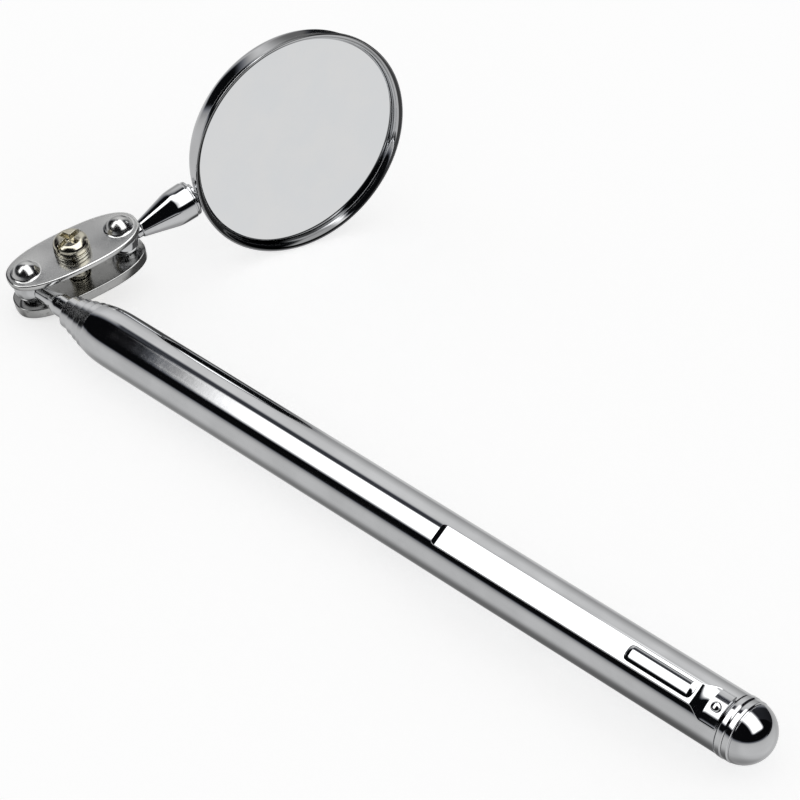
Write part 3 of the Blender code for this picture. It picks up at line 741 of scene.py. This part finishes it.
def inside_loop(loop, point):
    x, y = point
    a, b = loop, np.roll(loop, -1, axis=0)
    spans = (a[:, 1] > y) != (b[:, 1] > y)
    with np.errstate(divide="ignore", invalid="ignore"):
        crossing = (b[:, 0] - a[:, 0]) * (y - a[:, 1]) / (b[:, 1] - a[:, 1]) + a[:, 0]
    return bool(np.count_nonzero(spans & (x < crossing)) % 2)


def plate_mesh(rim_depth):
    """A pressed plate. With a rim depth it is a shallow tray whose edge is turned outwards."""
    outline = plate_outline()
    given, tops, lows, edges = [], [], [], []

    def add(point, top, low):
        given.append(Vector((float(point[0]), float(point[1]))))
        tops.append(top)
        lows.append(low)

    def ring(loop, top, low):
        start, count = len(given), len(loop)
        for point in loop:
            add(point, top, low)
        edges.extend((start + i, start + (i + 1) % count) for i in range(count))
        return range(start, start + count)

    def outer_z(depth):
        """Height of the outward face at a depth in from the edge."""
        z = PLATE_OUT + rim_depth
        if rim_depth and depth > RIM_FOOT:
            return z - rim_depth * smooth((depth - RIM_FOOT) / FOOT_LENGTH)
        return z - rounding(EDGE_OUT, depth)

    depths = [0.0, 0.018, 0.05, 0.10, 0.16, 0.24, 0.34]
    if rim_depth:
        depths += [RIM_WALL - 0.14] + [RIM_FOOT + FOOT_LENGTH * k / 8 for k in range(9)]
    border = [ring(inset(outline, depth), outer_z(depth), PLATE_IN + rounding(EDGE_IN, depth))
              for depth in depths][0]

    dome_end = 1.98 if rim_depth else DOME_OUT
    radii = [0.25, 0.5, 0.75, 0.95, 1.1, 1.2, SEAT_EDGE, 1.35, 1.5, 1.6, 1.68]
    radii += [DOME_FOOT + (dome_end - DOME_FOOT) * k / 6 for k in range(7)]
    for centre_x in (-SPACING / 2, SPACING / 2):
        add((centre_x, 0.0), dome(0.0), seat(0.0))
        for radius in radii:
            loop = circle(radius, 72, centre_x)
            numbers = ring(loop, dome(radius), seat(radius))
            if not rim_depth:
                continue
            # where the dome meets the foot of the rim the higher of the two stands
            for i, (x, y) in zip(numbers, loop):
                gap = HALF_L - abs(x) - 0.5 * y * y / 3.4
                if gap < RIM_FOOT + FOOT_LENGTH:
                    tops[i] = max(tops[i], outer_z(max(gap, 0.35)))

    # (radius, chamfer) round the screw hole
    hole = [ring(circle(radius, 64), PLATE_OUT - drop, PLATE_IN + drop)
            for radius, drop in ((HOLE_R, 0.10), (1.63, 0.04), (1.70, 0.0), (1.9, 0.0))][0]

    flat, _, triangles, sources, _, _ = delaunay_2d_cdt(given, edges, [], 0, 1e-7)
    flat = np.array([tuple(p) for p in flat])
    count = len(flat)
    top_z, low_z = np.zeros(count), np.zeros(count)
    number = {}
    for k, source in enumerate(sources):
        if not source:
            # a crossing made by the triangulation takes the heights of its nearest given point
            x, y = flat[k]
            source = [int(np.argmin([(x - p.x) ** 2 + (y - p.y) ** 2 for p in given]))]
        else:
            number.update((i, k) for i in source)
        top_z[k] = max(tops[i] for i in source)
        low_z[k] = max(lows[i] for i in source)

    kept = []
    for triangle in triangles:
        centre = flat[list(triangle)].mean(axis=0)
        if math.hypot(*centre) >= HOLE_R - 0.002 and inside_loop(outline, centre):
            kept.append(tuple(triangle))
    points = np.vstack([np.column_stack([flat, top_z]), np.column_stack([flat, low_z])])
    faces = kept + [tuple(i + count for i in reversed(t)) for t in kept]
    for loop in (border, hole):
        upper = [number[i] for i in loop]
        faces += bridge(upper, [i + count for i in upper])
    return points, faces


def build_plates():
    for name, side, node, rim_depth, mat in (
            ("clamp_plate_upper", 1, "clamp_plate_top", 0.0, plate_mat),
            # the lower plate's darker plating is painted shade
            ("clamp_plate_lower", -1, "clamp_plate_bottom", RIM_DEPTH, tray_painted_shade_mat)):
        points, faces = plate_mesh(rim_depth)
        make(name, place(points, axes(MIDDLE, PLATE_N * side, LINK)), faces,
             "clamp", node, "plate_chrome", mat, sharp=42)


# ------------------------------------------------------------------ screw, washer, nut
# heights along the screw, from the middle plane of the clamp
WASHER_LOW, WASHER_T = PLATE_OUT + 0.05, 0.55
HEAD_LOW = WASHER_LOW + WASHER_T + 0.04
HEAD_TOP = HEAD_LOW + 1.6
NUT_TOP = -PLATE_OUT - 0.05
NUT_LOW = NUT_TOP - 2.0
HEAD_R, CROWN_R, CROWN_DROP = 2.5, 1.3, 0.04
THREAD_R, PITCH, THREAD_DEPTH = 1.42, 0.5, 0.12
THREAD_TOP, THREAD_END, SCREW_END = HEAD_LOW - 0.3, NUT_TOP - 2.1, NUT_TOP - 2.35
WASHER_IN, WASHER_OUT = 1.62, 2.55
NUT_FLAT, NUT_CORNER = 5.0 / 2, 2.84       # centre to flat, and to the cut corner
NUT_CHAMFER, NUT_BORE, NUT_MOUTH = NUT_FLAT * 0.985, 1.5, 1.72


def bar(u, v, length, width, soft):
    """1 inside a slot of that length and width, falling to 0 over soft."""
    return (smooth((width / 2 + soft / 2 - abs(v)) / soft)
            * smooth((length / 2 + soft / 2 - abs(u)) / soft))


def recess(x, y):
    """Depth of the drive: a slot right across, a shorter cross and a pit in the middle."""
    turn = math.radians(20)
    u, v = x * math.cos(turn) + y * math.sin(turn), -x * math.sin(turn) + y * math.cos(turn)
    slot = 0.60 * bar(u, v, length=7.0, width=0.6, soft=0.10)
    cross = 0.85 * max(bar(v, u, length=3.0, width=0.72, soft=0.14),
                       bar(u, v, length=3.0, width=0.72, soft=0.14))
    pit = 1.15 * smooth((0.75 - math.hypot(u, v)) / 0.45)
    return max(slot, cross, min(pit, 1.0))


def head_z(r):
    """Pan head: a shallow crown that turns over to the side."""
    if r <= CROWN_R:
        return HEAD_TOP - CROWN_DROP * (r / CROWN_R) ** 2
    t = (r - CROWN_R) / (HEAD_R - CROWN_R)
    return HEAD_TOP - CROWN_DROP - 0.98 * (1 - math.sqrt(max(0.0, 1 - t**2.3)))


def cut_head(r, angle, z):
    if z > HEAD_LOW + 0.3:
        cut = z - recess(r * math.cos(angle), r * math.sin(angle))
        return r, max(cut, HEAD_LOW + 0.27)
    return r, z


def build_screw():
    radii = np.concatenate([np.linspace(0.04, 2.2, 55), np.linspace(2.24, HEAD_R, 14)])
    profile = [(0.0, HEAD_TOP)] + [(r, head_z(r)) for r in radii]
    profile += [(HEAD_R, HEAD_LOW + 0.25), (2.48, HEAD_LOW + 0.1), (2.42, HEAD_LOW + 0.02),
                (2.3, HEAD_LOW), (1.5, HEAD_LOW), (THREAD_R, HEAD_LOW - 0.05),
                (THREAD_R, THREAD_TOP)]
    root = THREAD_R - THREAD_DEPTH
    z = THREAD_TOP
    while z > THREAD_END:
        profile += [(THREAD_R, z - 0.06), (root, z - 0.19), (root, z - 0.25), (THREAD_R, z - 0.44)]
        z -= PITCH
    profile += [(THREAD_R, THREAD_END), (1.30, THREAD_END - 0.12), (1.17, SCREW_END),
                (0.0, SCREW_END)]
    make("clamp_screw_body", *lathe(profile, SCREW_FRAME, 176, shape=cut_head),
         "screw", "clamp_screw", "screw_nickel", screw_mat, sharp=50)


def build_washer():
    """A split ring whose ends stand slightly apart in height."""
    section = fillet([(WASHER_IN, 0.0, 0.08), (WASHER_OUT, 0.0, 0.1),
                      (WASHER_OUT, WASHER_T, 0.1), (WASHER_IN, WASHER_T, 0.08)],
                     closed=True, steps=3)
    start, span, steps = math.radians(250 + 4.75), math.radians(350.5), 96
    rings = []
    for k in range(steps + 1):
        angle = start + span * k / steps
        lift = 0.03 * (2 * k / steps - 1)
        rings.append([(r * math.cos(angle), r * math.sin(angle),
                       WASHER_LOW + min(max(z + lift, -0.04), 0.585)) for r, z in section])
    points, faces, rows = loft(rings)
    faces += [tuple(rows[0]), tuple(rows[-1])]
    make("split_washer", place(points, SCREW_FRAME), faces,
         "washer", "lock_washer", "washer_nickel", washer_mat, sharp=35)


def nut_section(angle):
    """(x, y, z) points of the nut's section at an angle, from the bore outwards and back."""
    from_flat = ((math.degrees(angle) + 1e-9) % 60) - 30
    side = min(NUT_FLAT / math.cos(math.radians(from_flat)), NUT_CORNER)
    drop = max(0.0, side - NUT_CHAMFER) * math.tan(math.radians(30)) + 0.02
    face_r = NUT_CHAMFER - 0.02
    section = [(NUT_BORE, NUT_LOW + 0.2), (NUT_BORE, NUT_TOP - 0.2), (NUT_MOUTH, NUT_TOP),
               (face_r, NUT_TOP), (side, NUT_TOP - drop), (side, NUT_LOW + drop),
               (face_r, NUT_LOW), (NUT_MOUTH, NUT_LOW)]
    return [(r * math.cos(angle), r * math.sin(angle), z) for r, z in section]


def build_nut():
    sections = [nut_section(2 * math.pi * k / 180) for k in range(180)]
    points, faces, _ = loft([list(ring) for ring in zip(*sections)], closed=True)
    make("hex_nut", place(points, SCREW_FRAME), faces,
         "clamp", "clamp_nut", "nut_nickel", nut_mat, sharp=18)


# ------------------------------------------------------------------ neck and stem
NECK_RIM_R = 0.9
STEM_END = STEM_LENGTH - LIP_OUT - 0.04
# (radius, distance from the ball) of the widening stem
CONE = [(1.25, 3.2), (1.92, 5.75), (2.42, 7.6), (2.60, 8.35), (2.665, 8.9), (2.70, 9.6),
        (2.72, STEM_END - 0.80)]
# (radius, distance past STEM_END, corner radius) of the groove, collar and spigot
COLLAR = [(2.72, -0.76), (2.72, -0.72, 0.03), (2.46, -0.66, 0.03), (2.46, -0.44, 0.03),
          (2.62, -0.38, 0.05), (2.58, -0.04, 0.1), (2.1, 0.0, 0.08), (1.9, 0.12, 0.1),
          (1.9, 0.50, 0.05), (0.0, 0.50)]


def build_neck():
    rim = socket_rim(NECK_RIM_R)
    profile = [(0.0, 3.9), (0.94, 3.9), (0.98, 3.85)]
    profile += catmull([(0.98, 3.7), (1.0, 3.1), (1.02, 2.6), (1.0, rim + 0.1)], per=4)
    profile += [(NECK_RIM_R, rim)] + socket(np.linspace(0.3, 0.04, 4))
    make("stem_neck", *lathe(profile, STEM_FRAME, 72),
         "shank", "stem_shank", "stem_chrome", stem_mat)


def build_stem():
    profile = [(0.0, 4.0), (1.07, 4.0), (1.07, 2.99), (1.12, 2.95), (1.20, 3.02)]
    profile += catmull(CONE, per=6)
    profile += fillet([(r, STEM_END + z, *corner) for r, z, *corner in COLLAR], steps=4)[1:]
    make("stem_cone", *lathe(profile, STEM_FRAME, 112),
         "mirror_head", "mirror_stem", "stem_chrome", stem_mat, sharp=38)


# ------------------------------------------------------------------ mirror case and glass
# heights are along the glass normal, from the face of the glass
LIP_R, LIP_Z = 0.45, 0.81
CREST = LIP_Z + LIP_R
FLARE = 0.92                       # the lip flares outwards on this radius, then turns over
CUP_R, CUP_WALL = 16.30, 0.30
CORNER_R, CORNER_Z = 1.9, -1.47
CASE_BACK = CORNER_Z - CORNER_R
GLASS_R, GLASS_T = 15.94, 1.4


def case_material():
    """Chrome with two painted dark reflections in its colour, one of them where the camera sees
    the leaning case mirror.
    """
    sight = unit(MIRROR_C - CAMERA_SPOT)
    side = vec(-0.745, -0.667, 0.0)
    side = unit(side - side.dot(GLASS_N) * GLASS_N)
    lean = math.radians(19)
    normal = unit(GLASS_N * math.cos(lean) + side * math.sin(lean))
    seen = sight - 2 * sight.dot(normal) * normal
    cone_edge, cone_core = math.cos(math.radians(37)), math.cos(math.radians(28))
    return metal("case_plate_painted_dark", CHROME, rough=0.05, spread=0.04, bump=0.05,
                 # painted shade: dark reflections painted into the case's colour, one towards
                 # (0.348, 0.811, 0.467), one in a cone round the mirrored sight line
                 painted_dark_reflections=(((0.348, 0.811, 0.467), 0.20, 0.45, 0.80),
                        (tuple(seen), cone_edge, cone_core, 0.93)))


def build_case():
    corner_c, inner_r = CUP_R - CORNER_R, CUP_R - CUP_WALL
    inside = [(0.0, CASE_BACK + CUP_WALL)]
    inside += arc(corner_c, CORNER_Z, CORNER_R - CUP_WALL, -90, 0, 10)
    inside += [(inner_r, -0.2), (inner_r, 0.05)]
    inside += arc(inner_r + FLARE, CREST - FLARE, FLARE, 180, 103, 18)
    outside = arc(LIP_OUT - 0.17, CREST - 0.17, 0.17, 78, 0, 7)
    outside += fillet([(LIP_OUT, CREST - 0.18), (LIP_OUT, LIP_Z - 0.22, 0.14),
                       (LIP_OUT - 0.34, LIP_Z - 0.42, 0.10), (CUP_R + 0.12, LIP_Z - 0.44)],
                      steps=5)[1:]
    outside += arc(CUP_R + 0.10, 0.26, 0.10, 90, 180, 4)
    outside += arc(corner_c, CORNER_Z, CORNER_R, 0, -86, 20)
    outside += [(13.9, CASE_BACK), (12.6, CASE_BACK), (0.0, CASE_BACK)]
    make("mirror_cup", *lathe(inside + outside, HEAD_FRAME, 224),
         "mirror_head", "mirror_case", "case_chrome", case_material(), sharp=40)


def build_glass():
    profile = [(0.0, 0.0), (8.0, 0.0), (GLASS_R - 0.32, 0.0), (GLASS_R - 0.28, -0.005),
               (GLASS_R - 0.06, -0.16), (GLASS_R, -0.22), (GLASS_R, -GLASS_T + 0.05),
               (GLASS_R - 0.05, -GLASS_T), (0.0, -GLASS_T)]
    make("mirror_disc", *lathe(profile, HEAD_FRAME, 224),
         "mirror_head", "mirror_glass", "mirror_glass", glass_mat, sharp=20)


# ------------------------------------------------------------------ floor
# (steepness of the ray, 1 straight down; grey level) of the painted floor brightness that the
# plating mirrors, with painted shadow under the object for the steepest rays
PAINTED_STEEP_FLOOR = [(0.0, 0.42), (0.05, 0.55), (0.12, 0.64), (0.25, 0.70), (0.60, 0.69),
               (0.70, 0.60), (0.79, 0.38), (0.85, 0.23), (0.93, 0.13), (1.0, 0.10)]
PAINTED_EVEN_FLOOR = [(0.0, 0.42), (0.05, 0.52), (0.12, 0.58), (0.30, 0.62), (0.70, 0.64),
              (0.86, 0.56), (0.95, 0.42), (1.0, 0.34)]


def floor_material():
    """Pale to the camera. In reflections it glows with painted levels set by the ray's direction.
    """
    mat, nodes = new_material("pale_floor")
    path = nodes.node("ShaderNodeLightPath")
    geometry = nodes.node("ShaderNodeNewGeometry").outputs
    incoming = nodes.node("ShaderNodeSeparateXYZ", Vector=geometry["Incoming"]).outputs
    spot_x = nodes.node("ShaderNodeSeparateXYZ", Vector=geometry["Position"]).outputs[0]
    ray_x, ray_y = nodes.times(incoming[0], -1.0), nodes.times(incoming[1], -1.0)
    level = nodes.mix(nodes.step(ray_x, start=-0.36, end=-0.12),
                      nodes.ramp(incoming[2], PAINTED_STEEP_FLOOR), nodes.ramp(incoming[2], PAINTED_EVEN_FLOOR))
    # painted light: lighter for rays towards +X; painted shade in two windows towards +Y
    gain = nodes.step(ray_x, start=0.2, end=0.6, low=1.0, high=1.20)
    narrow = nodes.window((ray_y, 0.68, 0.76), (ray_x, -0.530, -0.552))
    wide = nodes.window((ray_y, 0.36, 0.50), (ray_x, -0.30, -0.10), (spot_x, 0.03, 0.0))
    depth = 0.88
    shade = nodes.math("MAXIMUM", nodes.times(narrow, depth), nodes.times(wide, depth))
    gain = nodes.times(gain, nodes.invert(shade))
    # the painted levels glow as emission, seen only by glossy rays
    mirrored = nodes.node("ShaderNodeEmission", Color=level, Strength=gain)
    pale = nodes.node("ShaderNodeBsdfDiffuse", Color=(0.86, 0.86, 0.86))
    lift = nodes.node("ShaderNodeEmission", Color=(1.0, 1.0, 1.0), Strength=0.62)
    both = nodes.node("ShaderNodeAddShader")
    nodes.set(both.inputs[0], pale.outputs[0])
    nodes.set(both.inputs[1], lift.outputs[0])
    nodes.output(nodes.mix_shader(path.outputs["Is Glossy Ray"], both, mirrored))
    return mat


def build_floor():
    half, drop = 6.0, 0.0001       # metres
    mesh = bpy.data.meshes.new("floor")
    corners = [(-half, -half, 0), (half, -half, 0), (half, half, 0), (-half, half, 0)]
    mesh.from_pydata(corners, [], [(0, 1, 2, 3)])
    floor = bpy.data.objects.new("floor", mesh)
    floor.location.z = -drop
    bpy.context.scene.collection.objects.link(floor)
    mesh.materials.append(floor_material())


# ------------------------------------------------------------------ studio light
# (height of the ray, 0 down to 1 up; grey level) of the studio wall
WALL = [(0.0, 0.40), (0.48, 0.40), (0.60, 0.50), (0.70, 0.66), (0.80, 0.84), (0.88, 0.86),
        (1.0, 0.5)]


def build_world():
    """A procedural studio for reflections, plain light for the rest, white to the camera."""
    world = bpy.data.worlds.new("studio")
    bpy.context.scene.world = world
    world.use_nodes = True
    nodes = Nodes(world.node_tree)
    path = nodes.node("ShaderNodeLightPath").outputs
    ray = nodes.node("ShaderNodeTexCoord").outputs["Generated"]
    ray_x, ray_y, ray_z = nodes.node("ShaderNodeSeparateXYZ", Vector=ray).outputs

    # the wall darkens towards +X
    wall = nodes.ramp(nodes.plus(nodes.times(ray_z, 0.5), 0.5), WALL)
    wall = nodes.times(wall, nodes.step(ray_x, start=-0.25, end=0.25, low=1.0, high=0.62))

    # black flags: low on the -Y side, low on the +X side, then three with their depths
    near = nodes.window((ray_y, 0.30, -0.05), (ray_z, 0.0, 0.13))
    far = nodes.window((ray_x, 0.25, 0.50), (ray_z, 0.0, 0.10))
    gap = nodes.window((ray_y, 0.29, 0.15), (ray_y, -0.05, 0.02),
                       (ray_x, -0.34, -0.40), (ray_x, -0.612, -0.592))
    rear = nodes.window((ray_x, -0.26, -0.04), (ray_y, 0.34, 0.52))
    nook = nodes.window((ray_x, -0.530, -0.552), (ray_y, 0.68, 0.76), (ray_z, 0.34, 0.14))
    dark = nodes.math("MAXIMUM", near, far)
    for flag, depth in ((gap, 0.93), (rear, 0.96), (nook, 0.95)):
        dark = nodes.math("MAXIMUM", dark, nodes.times(flag, depth))
    darkest = 0.004
    level = nodes.plus(nodes.times(wall, nodes.invert(dark)), darkest)

    # softbox overhead: a narrow panel towards -X and the wide panel beside it
    narrow = nodes.window((ray_x, -0.588, -0.543), (ray_x, -0.18, -0.30),
                          (ray_y, 0.015, -0.085), (ray_z, 0.42, 0.58))
    wide = nodes.window((ray_x, -0.40, -0.34), (ray_x, 0.90, 0.80), (ray_y, -0.42, -0.22),
                        (ray_y, 0.46, 0.28), (ray_z, 0.44, 0.56))
    softbox = nodes.math("MAXIMUM", narrow, wide)
    softbox_level = 2.3
    value = nodes.plus(nodes.times(level, nodes.invert(softbox)),
                       nodes.times(softbox, softbox_level))

    # the dark parts are slightly blue
    tint = nodes.mix(nodes.step(value, start=0.0, end=0.5), (0.90, 0.96, 1.12), (1.0, 1.0, 1.0))
    colour = nodes.vector_math("SCALE", tint, scale=value).outputs[0]
    white = (1.0, 1.0, 1.0)
    studio = nodes.node("ShaderNodeBackground", Color=colour, Strength=1.0)
    plain = nodes.node("ShaderNodeBackground", Color=white, Strength=0.42)
    backdrop = nodes.node("ShaderNodeBackground", Color=white, Strength=1.0)
    lighting = nodes.mix_shader(path["Is Glossy Ray"], plain, studio)
    nodes.output(nodes.mix_shader(path["Is Camera Ray"], lighting, backdrop),
                 "ShaderNodeOutputWorld")
    bpy.context.scene.view_settings.view_transform = "Standard"
    bpy.context.scene.view_settings.look = "None"


# ------------------------------------------------------------------ camera
CAMERA_ANGLES = (40.754, 36.951, 3.467)    # azimuth, elevation, roll in degrees


def build_camera():
    lens = bpy.data.cameras.new("camera")
    lens.sensor_fit = "HORIZONTAL"
    lens.sensor_width = 36.0
    lens.lens = 144.0
    lens.clip_start, lens.clip_end = 0.01, 50.0
    camera = bpy.data.objects.new("camera", lens)
    bpy.context.scene.collection.objects.link(camera)
    azimuth, elevation, roll = (math.radians(a) for a in CAMERA_ANGLES)
    back = Vector((math.sin(azimuth) * math.cos(elevation),
                   -math.cos(azimuth) * math.cos(elevation), math.sin(elevation)))
    level = Vector((math.cos(azimuth), math.sin(azimuth), 0.0))
    right = level * math.cos(roll) + back.cross(level) * math.sin(roll)
    pose = Matrix((right, back.cross(right), back)).transposed().to_4x4()
    pose.translation = Vector([float(c) for c in (CAMERA_SPOT + BASE) * MM])
    camera.matrix_world = pose
    bpy.context.scene.camera = camera


for build in (build_barrel, build_ring, build_cap, build_clip, build_rivet, build_tubes,
              build_rod, build_balls, build_plates, build_screw, build_washer, build_nut,
              build_neck, build_stem, build_case, build_glass, build_floor, build_world,
              build_camera):
    build()
